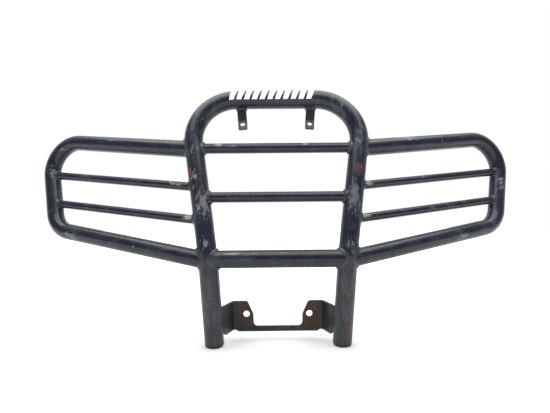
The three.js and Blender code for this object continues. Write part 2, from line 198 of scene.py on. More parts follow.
class Nodes:
    """Short way to place and join the nodes of a material or a node group."""

    def __init__(self, tree):
        self.tree = tree

    def put(self, kind, values=None, **settings):
        node = self.tree.nodes.new(kind)
        for key, value in settings.items():
            setattr(node, key, value)
        for key, value in (values or {}).items():
            if isinstance(value, bpy.types.NodeSocket):
                self.tree.links.new(value, node.inputs[key])
            else:
                node.inputs[key].default_value = value
        return node

    def group(self, name, values):
        return self.put("ShaderNodeGroup", values, node_tree=bpy.data.node_groups[name])

    def math(self, operation, a, b=0.0, clamp=False):
        node = self.put("ShaderNodeMath", {0: a, 1: b}, operation=operation)
        node.use_clamp = clamp
        return node.outputs[0]

    def vector(self, operation, a, b):
        return self.put("ShaderNodeVectorMath", {0: a, 1: b}, operation=operation).outputs[0]

    def length(self, a):
        return self.put("ShaderNodeVectorMath", {0: a}, operation="LENGTH").outputs["Value"]

    def mix(self, factor, a, b):
        return self.put("ShaderNodeMix", {0: factor, 6: a, 7: b},
                        data_type="RGBA").outputs[2]

    def blend(self, factor, a, b):
        return self.put("ShaderNodeMix", {0: factor, 2: a, 3: b},
                        data_type="FLOAT").outputs[0]

    def ramp(self, value, low, high):
        """0 below low, 1 above high, smooth between."""
        return self.put("ShaderNodeMapRange", {0: value, 1: low, 2: high},
                        interpolation_type="SMOOTHSTEP").outputs[0]

    def noise(self, vector, scale, detail=3.0, roughness=0.55):
        return self.put("ShaderNodeTexNoise", {
            "Vector": vector, "Scale": scale, "Detail": detail,
            "Roughness": roughness}).outputs[0]

    def link(self, value, socket):
        self.tree.links.new(value, socket)


def begin_group(name, inputs, outputs):
    """A shader node group with named sockets, ready to be filled."""
    tree = bpy.data.node_groups.new(name, "ShaderNodeTree")
    for label, kind, value in inputs:
        socket = tree.interface.new_socket(name=label, in_out="INPUT", socket_type=kind)
        if value is not None:
            socket.default_value = value
    for label, kind in outputs:
        tree.interface.new_socket(name=label, in_out="OUTPUT", socket_type=kind)
    source = tree.nodes.new("NodeGroupInput")
    target = tree.nodes.new("NodeGroupOutput")
    return Nodes(tree), source.outputs, target.inputs


FLOAT, COLOR, VECTOR = "NodeSocketFloat", "NodeSocketColor", "NodeSocketVector"


def make_sprayed_paint():
    """Thin sprayed enamel: slight tone drift, dust nibs, faint orange peel."""
    n, given, out = begin_group(
        "Sprayed paint",
        [("Place", VECTOR, None), ("Tone", COLOR, (0.02, 0.022, 0.028, 1)),
         ("Faded Tone", COLOR, (0.05, 0.052, 0.06, 1)), ("Fading", FLOAT, 0.3),
         ("Roughness", FLOAT, 0.35)],
        [("Color", COLOR), ("Roughness", FLOAT), ("Height", FLOAT)])
    cloud = n.noise(given["Place"], 22.0, 4.0, 0.6)
    drift = n.math("MULTIPLY", n.ramp(cloud, 0.38, 0.72), given["Fading"])
    grain = n.noise(given["Place"], 900.0, 2.0)
    speckle = n.math("MULTIPLY", n.ramp(grain, 0.62, 0.74), given["Fading"])
    faded = n.math("ADD", drift, n.math("MULTIPLY", speckle, 0.18), clamp=True)
    n.link(n.mix(faded, given["Tone"], given["Faded Tone"]), out["Color"])
    rub = n.noise(given["Place"], 60.0, 5.0, 0.65)
    uneven = n.math("MULTIPLY", n.math("SUBTRACT", rub, 0.5), 0.16)
    n.link(n.math("ADD", given["Roughness"], uneven, clamp=True), out["Roughness"])
    peel = n.math("MULTIPLY", n.noise(given["Place"], 330.0, 1.0), 0.35)
    n.link(n.math("ADD", peel, n.math("MULTIPLY", grain, 0.04)), out["Height"])


def make_rubbing():
    """Streaks where the paint is rubbed, and fine scratches. Stretch draws both
    out one way, the scratches twice as much."""
    n, given, out = begin_group(
        "Rubbing",
        [("Place", VECTOR, None), ("Stretch", VECTOR, (1, 1, 1)),
         ("Scale", FLOAT, 90.0), ("Amount", FLOAT, 0.5)],
        [("Mask", FLOAT), ("Scratch", FLOAT)])
    drawn = n.vector("MULTIPLY", given["Place"], given["Stretch"])
    streak = n.noise(drawn, given["Scale"], 7.0, 0.72)
    area = n.ramp(n.noise(given["Place"], 26.0, 3.0, 0.6), 0.42, 0.66)
    soft = n.math("MULTIPLY", n.ramp(streak, 0.47, 0.68), area)
    n.link(n.math("MULTIPLY", soft, given["Amount"], clamp=True), out["Mask"])
    long = n.vector("MULTIPLY", drawn, given["Stretch"])
    hair = n.noise(long, n.math("MULTIPLY", given["Scale"], 2.6), 1.0, 0.4)
    ridge = n.math("ABSOLUTE", n.math("SUBTRACT", hair, 0.5))
    spots = n.ramp(n.noise(given["Place"], 70.0, 3.0, 0.6), 0.55, 0.64)
    fine = n.math("MULTIPLY", n.ramp(ridge, 0.016, 0.002), spots)
    n.link(n.math("MULTIPLY", fine, given["Amount"], clamp=True), out["Scratch"])


def make_wear_and_sheen_patch():
    """A ragged patch that gathers round one place and thins out at its reach.
    It marks wear and rust, and on the frame also painted sheen and highlight.
    """
    n, given, out = begin_group(
        "Wear and sheen patch",
        [("Place", VECTOR, None), ("Centre", VECTOR, (0, 0, 0)),
         ("Reach", VECTOR, (0.02, 0.02, 0.02)), ("Stretch", VECTOR, (1, 1, 1)),
         ("Cover", FLOAT, 0.5), ("Grain", FLOAT, 260.0)],
        [("Mask", FLOAT)])
    offset = n.vector("SUBTRACT", given["Place"], given["Centre"])
    far = n.length(n.vector("DIVIDE", offset, given["Reach"]))
    core = n.ramp(far, 1.1, 0.1)
    drawn = n.vector("MULTIPLY", given["Place"], given["Stretch"])
    grit = n.noise(drawn, given["Grain"], 6.0, 0.66)
    wear = n.math("ADD", 0.18, n.math("MULTIPLY", core, 0.30))
    level = n.math("SUBTRACT", 0.74, n.math("MULTIPLY", given["Cover"], wear))
    over = n.math("SUBTRACT", grit, level)
    n.link(n.math("MULTIPLY", n.ramp(over, 0.0, 0.16), n.ramp(core, 0.0, 0.35), clamp=True),
           out["Mask"])


def make_chips():
    """Small flakes knocked out of the paint, sparse and hard-edged."""
    n, given, out = begin_group(
        "Chips",
        [("Place", VECTOR, None), ("Scale", FLOAT, 160.0), ("Amount", FLOAT, 0.3)],
        [("Mask", FLOAT)])
    flakes = n.noise(given["Place"], given["Scale"], 3.0, 0.6)
    level = n.math("SUBTRACT", 0.80, n.math("MULTIPLY", given["Amount"], 0.20))
    over = n.math("SUBTRACT", flakes, level)
    n.link(n.ramp(over, 0.0, 0.03), out["Mask"])


make_sprayed_paint()
make_rubbing()
make_wear_and_sheen_patch()
make_chips()


SHINE = 0.35


def begin_material(name):
    """A new material with its Principled shader and object coordinates."""
    material = bpy.data.materials.new(name)
    material.use_nodes = True
    n = Nodes(material.node_tree)
    shader = material.node_tree.nodes["Principled BSDF"]
    place = n.put("ShaderNodeTexCoord").outputs["Object"]
    return material, n, shader, place


def end_material(n, shader, color, roughness, height, depth):
    """Joins the finished colour, roughness and height to the shader. Depth is
    the relief in metres that a height of 1 stands for."""
    n.link(color, shader.inputs["Base Color"])
    n.link(roughness, shader.inputs["Roughness"])
    shader.inputs["Specular IOR Level"].default_value = SHINE
    bump = n.put("ShaderNodeBump", {"Strength": 0.8, "Distance": depth, "Height": height})
    n.link(bump.outputs[0], shader.inputs["Normal"])


TONE = (0.0055, 0.0078, 0.0150, 1)
FADED = (0.018, 0.023, 0.036, 1)
RUBBED = (0.085, 0.098, 0.122, 1)
SCRATCHED = (0.33, 0.35, 0.38, 1)
# The primer grey also paints small highlight spots along the tops of bars and rods, besides
# chips.
PRIMER_AND_GLINT = (0.42, 0.43, 0.44, 1)
ALONG_X = (0.16, 1, 1)
ALONG_Z = (1, 1, 0.16)
ALONG_LEG = (1, 1, 0.28)
DULL_EDGE = (12, -14)
DULL_LIFT = 2.5
PAINT_DEPTH = 0.00007


def painted_tube_material(name, patches=(), tone=TONE, faded=FADED, fading=0.5,
                          roughness=0.27, stretch=ALONG_X, rubbing=0.45, chips=0.3,
                          below=None):
    """The frame's enamel. A patch of wear, stain or painted sheen is (centre,
    reach, cover, colour, strength), in millimetres. Below (height, colour,
    roughness) the paint turns dull."""
    material, n, shader, place = begin_material(name)
    paint = n.group("Sprayed paint", {"Place": place, "Tone": tone, "Faded Tone": faded,
                                      "Fading": fading, "Roughness": roughness})
    color, rough, height = (paint.outputs[k] for k in ("Color", "Roughness", "Height"))
    if below:
        level, dull, dull_roughness = below
        z = n.put("ShaderNodeSeparateXYZ", {0: place}).outputs["Z"]
        wavy = n.math("ADD", z, n.math("MULTIPLY", n.noise(place, 35.0, 3.0), 0.012))
        low = n.ramp(wavy, *((level + edge) * MM for edge in DULL_EDGE))
        tall = n.vector("MULTIPLY", place, stretch)
        cloud = n.ramp(n.noise(tall, 85.0, 6.0, 0.7), 0.35, 0.70)
        mottled = n.mix(cloud, dull, tuple(c * DULL_LIFT for c in dull))
        color = n.mix(low, color, mottled)
        rough = n.blend(low, rough, dull_roughness)
    rub = n.group("Rubbing", {"Place": place, "Stretch": stretch, "Scale": 95.0,
                              "Amount": rubbing})
    chip = n.group("Chips", {"Place": place, "Scale": 130.0, "Amount": chips}).outputs[0]
    color = n.mix(n.math("MULTIPLY", rub.outputs["Mask"], 0.75), color, RUBBED)
    rough = n.math("ADD", rough, n.math("MULTIPLY", rub.outputs["Mask"], 0.25), clamp=True)
    for centre, reach, cover, tint, strength in patches:
        mask = n.group("Wear and sheen patch", {
            "Place": place, "Centre": [c * MM for c in centre],
            "Reach": [r * MM for r in reach], "Stretch": stretch, "Cover": cover}).outputs[0]
        mask = n.math("MULTIPLY", mask, strength)
        color = n.mix(mask, color, tint)
        rough = n.blend(mask, rough, 0.6)
        height = n.math("SUBTRACT", height, n.math("MULTIPLY", mask, 0.5))
    color = n.mix(n.math("MULTIPLY", rub.outputs["Scratch"], 0.4), color, SCRATCHED)
    color = n.mix(chip, color, PRIMER_AND_GLINT)
    height = n.math("SUBTRACT", height, n.math("MULTIPLY", chip, 0.9))
    end_material(n, shader, color, rough, height, PAINT_DEPTH)
    return material


def leg_point(z):
    """A point on the axis of the hoop's right upright."""
    rise = z - KNEE[2]
    return np.array([KNEE[0] + LEG_SPLAY * rise, KNEE[1] + HOOP_LEAN * rise, z])


def on_leg(share):
    """A point on the axis of the right lower leg: 0 at the knee, 1 at the foot."""
    return KNEE + (FOOT - KNEE) * share


BUFF = (0.30, 0.235, 0.185, 1)
# The blue-grey below also paints sheen streaks down the fronts of tubes, besides scuffs.
SCUFF_AND_SHEEN = (0.17, 0.19, 0.215, 1)
RED_MARK = (0.13, 0.022, 0.020, 1)
DARK_RED = (0.060, 0.018, 0.020, 1)
BROWN = (0.085, 0.060, 0.048, 1)
LIGHT_RUB = (0.11, 0.112, 0.118, 1)
DULL = (0.0165, 0.0172, 0.0210, 1)
DULL_BELOW_Z = 112

# Blue-grey patches run long and narrow down the fronts of the uprights: rubbed paint, and also
# a painted sheen standing in for the light down each tube.
hoop_paint = painted_tube_material("Hoop enamel", [
    (mirrored(leg_point(225) - [2, 14, 0], -1), (18, 14, 90), 0.70, BROWN, 0.75),
    (mirrored(leg_point(262) - [-4, 14, 0], -1), (10, 14, 34), 0.64, BUFF, 0.7),
    (mirrored(leg_point(222) - [-1, 14, 0], -1), (9, 14, 40), 0.55, BUFF, 0.55),
    (mirrored(leg_point(215) - [6, 13, 0], -1), (14, 14, 100), 0.80, SCUFF_AND_SHEEN, 0.48),
    (mirrored(leg_point(310) - [2, 14, 0], -1), (15, 14, 60), 0.60, SCUFF_AND_SHEEN, 0.45),
    (mirrored(leg_point(274) - [-9, 12, 0], -1), (6, 9, 13), 0.80, RED_MARK, 0.75),
    (mirrored(leg_point(205) - [4, 14, 0], -1), (5, 8, 40), 0.6, RED_MARK, 0.5),
    (leg_point(272) + [2, -13, 0], (13, 12, 24), 0.85, DARK_RED, 0.9),
    (leg_point(275) + [6, -12, 0], (8, 10, 16), 0.60, RED_MARK, 0.8),
    (leg_point(225) - [2, 14, 0], (16, 14, 110), 0.82, SCUFF_AND_SHEEN, 0.46),
    (leg_point(330) - [2, 14, 0], (15, 14, 60), 0.60, SCUFF_AND_SHEEN, 0.45),
    (mirrored(leg_point(150) - [0, 14, 0], -1), (16, 14, 32), 0.60, SCUFF_AND_SHEEN, 0.75),
    (leg_point(150) - [0, 14, 0], (16, 14, 32), 0.60, SCUFF_AND_SHEEN, 0.6),
    (np.array([-120, -8, 395]), (40, 14, 26), 0.50, SCUFF_AND_SHEEN, 0.75),
    (np.array([0, -12, 400]), (90, 14, 12), 0.40, SCUFF_AND_SHEEN, 0.6),
    (np.array([126, -10, 392]), (40, 14, 30), 0.52, SCUFF_AND_SHEEN, 0.75),
    (on_leg(0.74) + [3, -14, 0], (8, 9, 40), 0.85, DARK_RED, 0.8),
    (on_leg(0.35) + [3, -14, 0], (5, 8, 50), 0.60, LIGHT_RUB, 0.5),
    (on_leg(0.85) + [-6, -13, 0], (10, 9, 26), 0.5, BROWN, 0.5),
    (mirrored(on_leg(0.45) + [2, -14, 0], -1), (10, 9, 60), 0.55, LIGHT_RUB, 0.5),
    (mirrored(on_leg(0.75) + [4, -13, 0], -1), (14, 9, 40), 0.55, BROWN, 0.5),
], stretch=ALONG_LEG, rubbing=0.75, below=(DULL_BELOW_Z, DULL, 0.36))

leg_direction = unit(FOOT - KNEE)
tube_end = FOOT - leg_direction * (PLUG_FLANGE + GAP)
hoop_corner = leg_point(HOOP_TOP_Z)
hoop_axis = bent_axis(
    [mirrored(p, -1) for p in (tube_end, KNEE, hoop_corner)]
    + [hoop_corner, KNEE, tube_end],
    [KNEE_BEND, HOOP_CORNER_BEND, HOOP_CORNER_BEND, KNEE_BEND])
tube("hoop_tube_visual", hoop_axis, HOOP_RADIUS, HOOP_BORE, hoop_paint,
     "hoop_tube", sides=72)


# ------------------------------------------------------------------ end plugs
# A black moulded cap pushed into the open lower end of each leg. It has a thin
# rim the width of the tube with a rounded edge, and a stem that grips the bore.

PLUG_STEM_RADIUS = 13.9
PLUG_STEM_LENGTH = 14.0
PLUG_EDGE = 1.0
PLUG_DISH = [(0.02, 0.5), (5.0, 0.4), (8.0, 0.0)]
PLUG_BREAK = 0.2
PLUG_LEAD = 1.0
PLUG_SIDES = 56


def plug_profile():
    """Radius and height of the cap from the middle of its face to its stem."""
    corner = HOOP_RADIUS - PLUG_EDGE
    rim = [(corner + PLUG_EDGE * math.sin(a), PLUG_EDGE * (1 - math.cos(a)))
           for a in np.linspace(0, math.pi / 2, 7)]
    return [*PLUG_DISH, *rim, (HOOP_RADIUS, PLUG_FLANGE - PLUG_BREAK),
            (HOOP_RADIUS - PLUG_BREAK, PLUG_FLANGE), (PLUG_STEM_RADIUS, PLUG_FLANGE),
            (PLUG_STEM_RADIUS, PLUG_STEM_LENGTH - PLUG_LEAD),
            (PLUG_STEM_RADIUS - PLUG_LEAD, PLUG_STEM_LENGTH),
            (PLUG_DISH[0][0], PLUG_STEM_LENGTH)]


def plug_material():
    material, n, shader, place = begin_material("Moulded black cap")
    paint = n.group("Sprayed paint", {
        "Place": place, "Tone": (0.010, 0.010, 0.011, 1),
        "Faded Tone": (0.045, 0.043, 0.040, 1), "Fading": 0.6, "Roughness": 0.58})
    end_material(n, shader, paint.outputs["Color"], paint.outputs["Roughness"],
                 paint.outputs["Height"], 0.00008)
    return material


plug_black = plug_material()
profile = plug_profile()
for side_name, side in SIDES.items():
    up = mirrored(-leg_direction, side)
    across = unit(np.cross(up, [0, 1, 0]))
    other = np.cross(up, across)
    turns = np.linspace(0, 2 * math.pi, PLUG_SIDES, endpoint=False)[:, None]
    rings = [mirrored(FOOT, side) + up * rise
             + radius * (np.cos(turns) * across + np.sin(turns) * other)
             for radius, rise in profile]
    caps = [tuple(range(PLUG_SIDES)),
            tuple(range((len(profile) - 1) * PLUG_SIDES, len(profile) * PLUG_SIDES))]
    new_piece(f"leg_end_plug_{side_name}_visual", np.concatenate(rings),
              skin(len(profile), PLUG_SIDES) + caps, plug_black,
              [f"leg_end_plug_{side_name}"])


# ------------------------------------------------------------------ crossbars
# Three level tubes between the uprights: two of 11/16 in, and one of 1-1/8 in
# from knee to knee. Their ends are coped to the hoop and welded all round.

FRAME_RADIUS = 14.3
FRAME_BORE = 12.7
BAR_RADIUS = 8.75
BAR_BORE = 7.1
UPPER_BAR_Z = 313.5
MIDDLE_BAR_Z = 229.5
FIT = 0.05

crossbar_ends = {
    "upper": (leg_point(UPPER_BAR_Z), BAR_RADIUS, BAR_BORE),
    "middle": (leg_point(MIDDLE_BAR_Z), BAR_RADIUS, BAR_BORE),
    "lower": (KNEE, FRAME_RADIUS, FRAME_BORE),
}
# The light patches along the upper front of each bar lie where its top highlight falls: scuffs
# and bared primer, and also a painted highlight that sharpens it.
bar_paint = painted_tube_material("Crossbar enamel", [
    (np.array([62, -54, 232]), (40, 10, 8), 0.55, SCUFF_AND_SHEEN, 0.8),
    (np.array([-70, -32, 318]), (50, 10, 8), 0.50, SCUFF_AND_SHEEN, 0.8),
    (np.array([-98, -30, 319]), (9, 8, 5), 1.00, PRIMER_AND_GLINT, 0.45),
    (np.array([48, -30, 320]), (9, 8, 4), 1.00, PRIMER_AND_GLINT, 0.4),
    (np.array([30, -84, 140]), (80, 10, 9), 0.42, SCUFF_AND_SHEEN, 0.8),
    (np.array([-62, -84, 140]), (46, 10, 3), 0.80, PRIMER_AND_GLINT, 0.35),
    (np.array([-70, -84, 126]), (30, 10, 10), 0.50, SCUFF_AND_SHEEN, 0.35),
], rubbing=0.5, chips=0.35)

ON_HOOP = [(end, hoop_axis, HOOP_RADIUS + FIT) for end in (0, -1)]
crossbar_axes = {}
for name, (end, radius, bore) in crossbar_ends.items():
    crossbar_axes[name] = bent_axis([mirrored(end, -1), end], [])
    tube(f"{name}_crossbar_visual", crossbar_axes[name], radius, bore, bar_paint,
         f"{name}_crossbar", landings=ON_HOOP)


# ---------------------------------------------------------------- wing tubes
# The swept side frames: a 1-1/8 in tube that leaves the hoop near its top, goes
# round two bends and returns at the knee. Coped and welded like the crossbars.

WING_SWEEP = 0.364
WING_TOP_LEG_Z = 312.2
WING_BOTTOM_LEG_Z = 128.5
WING_TOP_CORNER = (449.8, 347.2)
WING_BOTTOM_CORNER = (410.9, 174.7)
WING_BENDS = [52.0, 48.0]
WING_SETBACK = 4.0


def wing_point(x, z):
    """A point of the right wing's plane, which runs back from the upright."""
    on_axis = leg_point(z)
    return np.array([x, on_axis[1] + WING_SWEEP * (x - on_axis[0]), z])


def wing_root(leg_z, corner):
    on_axis = leg_point(leg_z)
    return on_axis + unit(corner - on_axis) * WING_SETBACK


wing_top, wing_bottom = wing_point(*WING_TOP_CORNER), wing_point(*WING_BOTTOM_CORNER)
wing_corners = [wing_root(WING_TOP_LEG_Z, wing_top), wing_top, wing_bottom,
                wing_root(WING_BOTTOM_LEG_Z, wing_bottom)]
# The long light strips down the fronts of the outer end tubes are scuffs and also a painted
# sheen of the light on those tubes.
wing_paint = painted_tube_material("Wing enamel", [
    (mirrored(wing_point(370, 163), -1) + [0, -13, 0], (60, 10, 13), 0.75, SCUFF_AND_SHEEN, 0.85),
    (mirrored(wing_point(300, 330), -1) + [0, -10, 8], (90, 10, 9), 0.55, SCUFF_AND_SHEEN, 0.8),
    (wing_point(330, 158) + [0, -13, 0], (60, 10, 13), 0.65, SCUFF_AND_SHEEN, 0.8),
    (wing_point(430, 250) + [0, -12, 0], (12, 10, 60), 0.60, SCUFF_AND_SHEEN, 0.8),
    (wing_point(230, 327) + [0, -10, 8], (60, 12, 10), 0.66, SCUFF_AND_SHEEN, 0.75),
    (mirrored(wing_point(428, 280), -1) + [0, -12, 0], (12, 10, 60), 0.60, SCUFF_AND_SHEEN, 0.8),
], rubbing=0.55, chips=0.45)

wing_axes = {}
for side_name, side in SIDES.items():
    wing_axes[side_name] = bent_axis([mirrored(p, side) for p in wing_corners], WING_BENDS)
    tube(f"wing_tube_{side_name}_visual", wing_axes[side_name], FRAME_RADIUS, FRAME_BORE,
         wing_paint, f"wing_tube_{side_name}", sides=64, landings=ON_HOOP)


# ------------------------------------------------------------------ wing rods
# Two 9/16 in round bars across each wing, from the upright to the outer tube.
# They rise outward a little, and are coped and welded at both ends.

ROD_RADIUS = 7.15
WING_RODS = {"upper": (246.5, 278.0), "lower": (191.5, 223.5)}


def outer_tube_x(z):
    (low_x, low_z), (high_x, high_z) = WING_BOTTOM_CORNER, WING_TOP_CORNER
    return low_x + (high_x - low_x) * (z - low_z) / (high_z - low_z)


def rod_front(name, x):
    """The place on a right rod's front at a given distance from the middle."""
    inner_z, outer_z = WING_RODS[name]
    inner_x = leg_point(inner_z)[0]
    share = (x - inner_x) / (outer_tube_x(outer_z) - inner_x)
    return wing_point(x, inner_z + (outer_z - inner_z) * share) + [0, -ROD_RADIUS, 3]


# The light spots on the upper front of the rods, near their inner ends, lie where the highlight
# falls: worn primer and also a painted highlight.
rod_paint = painted_tube_material("Rod enamel", [
    (rod_front("upper", 155), (14, 9, 6), 0.95, PRIMER_AND_GLINT, 0.45),
    (rod_front("lower", 150), (22, 9, 6), 0.85, PRIMER_AND_GLINT, 0.45),
    (mirrored(rod_front("lower", 148), -1), (16, 9, 6), 0.95, PRIMER_AND_GLINT, 0.5),
    (mirrored(rod_front("upper", 170), -1), (34, 9, 6), 0.70, PRIMER_AND_GLINT, 0.45),
    (mirrored(rod_front("upper", 250), -1), (60, 9, 6), 0.50, SCUFF_AND_SHEEN, 0.7),
    (rod_front("upper", 270), (60, 9, 6), 0.50, SCUFF_AND_SHEEN, 0.7),
], rubbing=0.55, chips=0.45)

rod_axes = {}
for side_name, side in SIDES.items():
    for rod_name, (inner_z, outer_z) in WING_RODS.items():
        outer = wing_point(outer_tube_x(outer_z), outer_z)
        axis = bent_axis([mirrored(leg_point(inner_z), side), mirrored(outer, side)], [])
        rod_axes[rod_name, side_name] = axis
        tube(f"wing_rod_{rod_name}_{side_name}_visual", axis, ROD_RADIUS, 0, rod_paint,
             f"wing_rod_{rod_name}_{side_name}", sides=48,
             landings=[(0, hoop_axis, HOOP_RADIUS + FIT),
                       (-1, wing_axes[side_name], FRAME_RADIUS + FIT)])


# ----------------------------------------------------------------------- tabs
# Two short straps of 3 mm steel hanging under the top of the hoop. Each is cut
# with rounded corners, drilled for one bolt, folded forward and welded on.

TAB_THICKNESS = 3.0
TAB_WIDTH = 16.0
TAB_ROOT_X = 62.5
TAB_LEAN = math.radians(4.6)
TAB_DROP = 37.5
TAB_FOLD = math.radians(29)
TAB_FOOT = 19.3
TAB_HOLE_RADIUS = 4.25
TAB_HOLE_DROP = 7.6
TAB_CORNER = 2.5
TAB_BEND = 5.0
SHEET_EDGE = 0.45
SAME_SPOT = 1e-4


def arc(centre, radius, start, end, steps):
    """Points round an arc, angles in degrees."""
    return [(centre[0] + radius * math.cos(a), centre[1] + radius * math.sin(a))
            for a in np.radians(np.linspace(start, end, steps + 1))]


def circle(centre, radius, steps=40):
    return arc(centre, radius, 0, 360, steps)[:-1]


def flat_sheet(outline, holes, fold_lines):
    """A filled flat outline with holes and a narrow band inside every cut edge,
    cut across at each fold line (u)."""
    bm = bmesh.new()
    for loop in (outline, *holes):
        corners = [bm.verts.new((u, v, 0)) for u, v in loop]
        for a, b in zip(corners, corners[1:] + corners[:1]):
            bm.edges.new((a, b))
    bmesh.ops.triangle_fill(bm, use_beauty=True, use_dissolve=False, edges=bm.edges[:])
    bmesh.ops.recalc_face_normals(bm, faces=bm.faces)
    bmesh.ops.inset_region(bm, faces=bm.faces[:], thickness=SHEET_EDGE,
                           use_boundary=True, use_even_offset=True)
    for u in fold_lines:
        bmesh.ops.bisect_plane(bm, geom=bm.verts[:] + bm.edges[:] + bm.faces[:],
                               plane_co=(u, 0, 0), plane_no=(1, 0, 0),
                               dist=SAME_SPOT / 10)
    bmesh.ops.remove_doubles(bm, verts=bm.verts, dist=SAME_SPOT)
    bm.verts.index_update()
    flat = np.array([v.co[:2] for v in bm.verts])
    faces = [tuple(v.index for v in f.verts) for f in bm.faces]
    rim = [tuple(v.index for v in e.verts) for e in bm.edges if len(e.link_faces) == 1]
    bm.free()
    return flat, faces, rim


def fold_map(u, straight, bend, turn):
    """Along the sheet's middle: distance ahead, distance aside, and heading."""
    setback = bend * math.tan(turn / 2)
    length = bend * turn
    first = straight - setback
    if u <= first:
        return u, 0.0, 0.0
    if u <= first + length:
        angle = (u - first) / bend
        return first + bend * math.sin(angle), bend * (1 - math.cos(angle)), angle
    over = u - first - length
    return (first + bend * math.sin(turn) + over * math.cos(turn),
            bend * (1 - math.cos(turn)) + over * math.sin(turn), turn)


def fold_lines(straight, bend, turn, steps):
    """Where the sheet is cut across, from the start of its bend to the end."""
    first = straight - bend * math.tan(turn / 2)
    return list(np.linspace(first, first + bend * turn, steps + 1))


def thicken(middle, normals, faces, rim, thickness):
    """Gives a bent sheet its two faces and its cut edge, dressed to a small
    chamfer on both sides."""
    count = len(middle)
    half = np.full((count, 1), thickness / 2)
    half[sorted({i for pair in rim for i in pair})] -= SHEET_EDGE
    vertices = np.concatenate([middle + normals * half, middle - normals * half])
    walls = [(a, b, b + count, a + count) for a, b in rim]
    back = [tuple(i + count for i in reversed(f)) for f in faces]
    return vertices, list(faces) + back + walls


def shade_evenly(piece):
    """Lets the large flat faces decide the shading along each fold."""
    even = piece.modifiers.new("Even shading", "WEIGHTED_NORMAL")
    even.keep_sharp = True


def tab_sheet():
    """The tab in its own plane: u runs down from the tube, v across it."""
    shrink = 2 * TAB_BEND * math.tan(TAB_FOLD / 2) - TAB_BEND * TAB_FOLD
    half, end = TAB_WIDTH / 2, TAB_DROP + TAB_FOOT - shrink
    hole = (TAB_DROP + TAB_HOLE_DROP - shrink, 0.0)
    outline = ([(HOOP_RADIUS + FIT, -half)]
               + arc((end - TAB_CORNER, TAB_CORNER - half), TAB_CORNER, -90, 0, 6)
               + arc((end - TAB_CORNER, half - TAB_CORNER), TAB_CORNER, 0, 90, 6)
               + [(HOOP_RADIUS + FIT, half)])
    lines = fold_lines(TAB_DROP, TAB_BEND, TAB_FOLD, 6)
    return flat_sheet(outline, [circle(hole, TAB_HOLE_RADIUS)], lines)


tab_paint = painted_tube_material("Tab enamel", tone=(0.014, 0.015, 0.019, 1),
                                  roughness=0.36, stretch=ALONG_Z)
for side_name, side in SIDES.items():
    flat, faces, rim = tab_sheet()
    down = np.array([-side * math.sin(TAB_LEAN), 0, -math.cos(TAB_LEAN)])
    wide = np.array([math.cos(TAB_LEAN), 0, -side * math.sin(TAB_LEAN)])
    ahead = np.array([0.0, -1.0, 0.0])
    root = np.array([side * TAB_ROOT_X, hoop_corner[1], HOOP_TOP_Z])
    middle, normals = [], []
    for u, v in flat:
        run, aside, heading = fold_map(u, TAB_DROP, TAB_BEND, TAB_FOLD)
        middle.append(root + down * run + ahead * aside + wide * v)
        normals.append(ahead * math.cos(heading) - down * math.sin(heading))
    vertices, faces = thicken(np.array(middle), np.array(normals), faces, rim, TAB_THICKNESS)
    tab = new_piece(f"tab_{side_name}_visual", vertices, faces, tab_paint,
                    [f"tab_{side_name}"])
    shade_evenly(tab)


# ------------------------------------------------------------ lower bracket
# One plate of 4 mm steel that bolts the guard on: a low strap joins two drilled
# ears, and beyond each ear a flange folds forward to the leg it is welded to.
# Bolts have rubbed the ears bare round the holes and they have rusted.

BRACKET_THICKNESS = 4.0
STRAP_BOTTOM_Z = -5.5
STRAP_TOP_Z = 4.0
EAR_TOP_Z = 48.0
EAR_HOLE = (55.2, 25.1)
EAR_HOLE_RADIUS = 5.6
BRACKET_CORNER_X = 78.5
BRACKET_BEND = 6.0
FLANGE_TURN = math.radians(70)
FLANGE_BOTTOM_Z = -2.5
FLANGE_OVERRUN = 52.0
RELIEF = (68.8, 74.0)
CHAMFER_LOW_X = 89.3
CHAMFER_HIGH = (110.0, 40.0)
EAR_TOP_X = 53.6
EAR_SLANT = (43.3, 25.4)
EAR_ROOT_X = 42.7
EAR_ROUND = 4.0
EAR_FILLET = 8.0
FLANGE_FIT = 0.15
STEP_BACK = 6.0
END_MARGIN = 0.01
RUST_DARK = (0.036, 0.024, 0.018, 1)
RUST_LIGHT = (0.115, 0.072, 0.050, 1)
BARE_STEEL = (0.15, 0.14, 0.13, 1)


def quadratic(a, b, c, steps=8):
    """Points of a quadratic curve from a to c, pulled towards b."""
    a, b, c = (np.array(p, float) for p in (a, b, c))
    return [tuple(a * (1 - t) ** 2 + b * 2 * t * (1 - t) + c * t * t)
            for t in np.linspace(0, 1, steps + 1)]


setback = BRACKET_BEND * math.tan(FLANGE_TURN / 2)
fold_start = BRACKET_CORNER_X - setback
fold_end = fold_start + BRACKET_BEND * FLANGE_TURN
flange_heading = np.array([math.cos(FLANGE_TURN), -math.sin(FLANGE_TURN), 0])
flange_root = np.array([BRACKET_CORNER_X, -BRACKET_THICKNESS / 2, 0])


def flange_reach(z, aside=0.0):
    """Distance from the fold corner at which the flange meets the leg."""
    start = flange_root + [0, 0, z] + flange_heading * FLANGE_OVERRUN
    start = start + np.array([flange_heading[1], -flange_heading[0], 0]) * aside
    met = slide_clear(start, -flange_heading, hoop_axis, HOOP_RADIUS + FIT, 40)[0]
    return float((met - flange_root) @ flange_heading)


def flange_u(distance):
    """The same distance measured along the flat sheet from its middle."""
    return fold_end + distance - setback


def chamfer_height(distance):
    """Height of the slanted cut under the flange at that distance."""
    x = BRACKET_CORNER_X + distance * flange_heading[0]
    slope = (CHAMFER_HIGH[1] - FLANGE_BOTTOM_Z) / (CHAMFER_HIGH[0] - CHAMFER_LOW_X)
    return FLANGE_BOTTOM_Z + (x - CHAMFER_LOW_X) * slope


